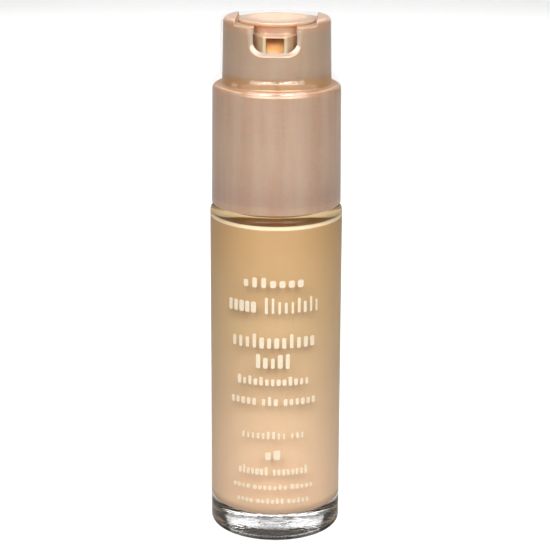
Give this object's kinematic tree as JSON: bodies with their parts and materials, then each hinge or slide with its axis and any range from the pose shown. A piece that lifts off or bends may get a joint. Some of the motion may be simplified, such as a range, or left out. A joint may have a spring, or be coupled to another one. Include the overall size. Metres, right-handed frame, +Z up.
{
  "type": "foundation bottle",
  "caption": "Round clear glass bottle of liquid foundation with a treatment pump, a two-tier pearl shroud notched for the nozzle, a dished push button and a clear shrink film.",
  "frame": {"origin": "centre of the base, on the plane that the bottle stands on", "axes": "+Z up the bottle's axis, -Y the way the nozzle points"},
  "size_m": [0.029, 0.0291, 0.1156],
  "materials": {
    "clear_glass": "polished clear flint glass",
    "liquid": "opaque golden-beige liquid",
    "ink": "cream screen print",
    "natural_resin": "natural polyethylene",
    "white_resin": "white polypropylene",
    "pearl": "rose-beige pearl plastic",
    "amber": "translucent amber plastic",
    "steel": "bright stainless steel",
    "film": "clear shrink film"
  },
  "bodies": {
    "bottle": {"glass_bottle": "clear_glass", "foundation_liquid": "liquid", "front_print": "ink"},
    "gasket": {"neck_gasket": "natural_resin"},
    "closure": {"screw_cap": "white_resin", "shroud": "pearl", "pump_housing": "natural_resin", "lock_ring": "white_resin", "dip_tube": "natural_resin", "main_spring": "steel"},
    "plunger": {"stem": "white_resin", "piston": "natural_resin"},
    "head": {"pump_head": "pearl", "nozzle_insert": "amber"},
    "lower_valve": {"inlet_ball": "steel"},
    "upper_valve": {"outlet_ball": "steel"},
    "band": {"shrink_band": "film"}
  },
  "joints": [
    {"name": "closure_lift", "type": "slide", "parent": "bottle", "child": "gasket", "axis": [0, 0, 1], "range_m": [0, 0.00477]},
    {"name": "closure_turn", "type": "hinge", "parent": "gasket", "child": "closure", "pos_m": [0, 0, 0.0895], "axis": [0, 0, 1], "range_deg": [0, 540]},
    {"name": "pump_stroke", "type": "slide", "parent": "closure", "child": "plunger", "axis": [0, 0, -1], "range_m": [0, 0.0025], "stiffness_N_per_m": 1200, "springref_m": -0.004, "deforming": ["main_spring"]},
    {"name": "head_swivel", "type": "hinge", "parent": "plunger", "child": "head", "pos_m": [0, 0, 0.108], "axis": [0, 0, 1], "range_deg": [-10, 10]},
    {"name": "inlet_ball_lift", "type": "slide", "parent": "closure", "child": "lower_valve", "axis": [0, 0, 1], "range_m": [0, 0.001]},
    {"name": "outlet_ball_lift", "type": "slide", "parent": "plunger", "child": "upper_valve", "axis": [0, 0, 1], "range_m": [0, 0.0008]},
    {"name": "band_lift", "type": "slide", "parent": "closure", "child": "band", "axis": [0, 0, 1], "range_m": [0, 0.042]}
  ],
  "couplings": [
    {"joint": "closure_lift", "follows": "closure_turn", "m_per_rad": 0.00050532}
  ]
}
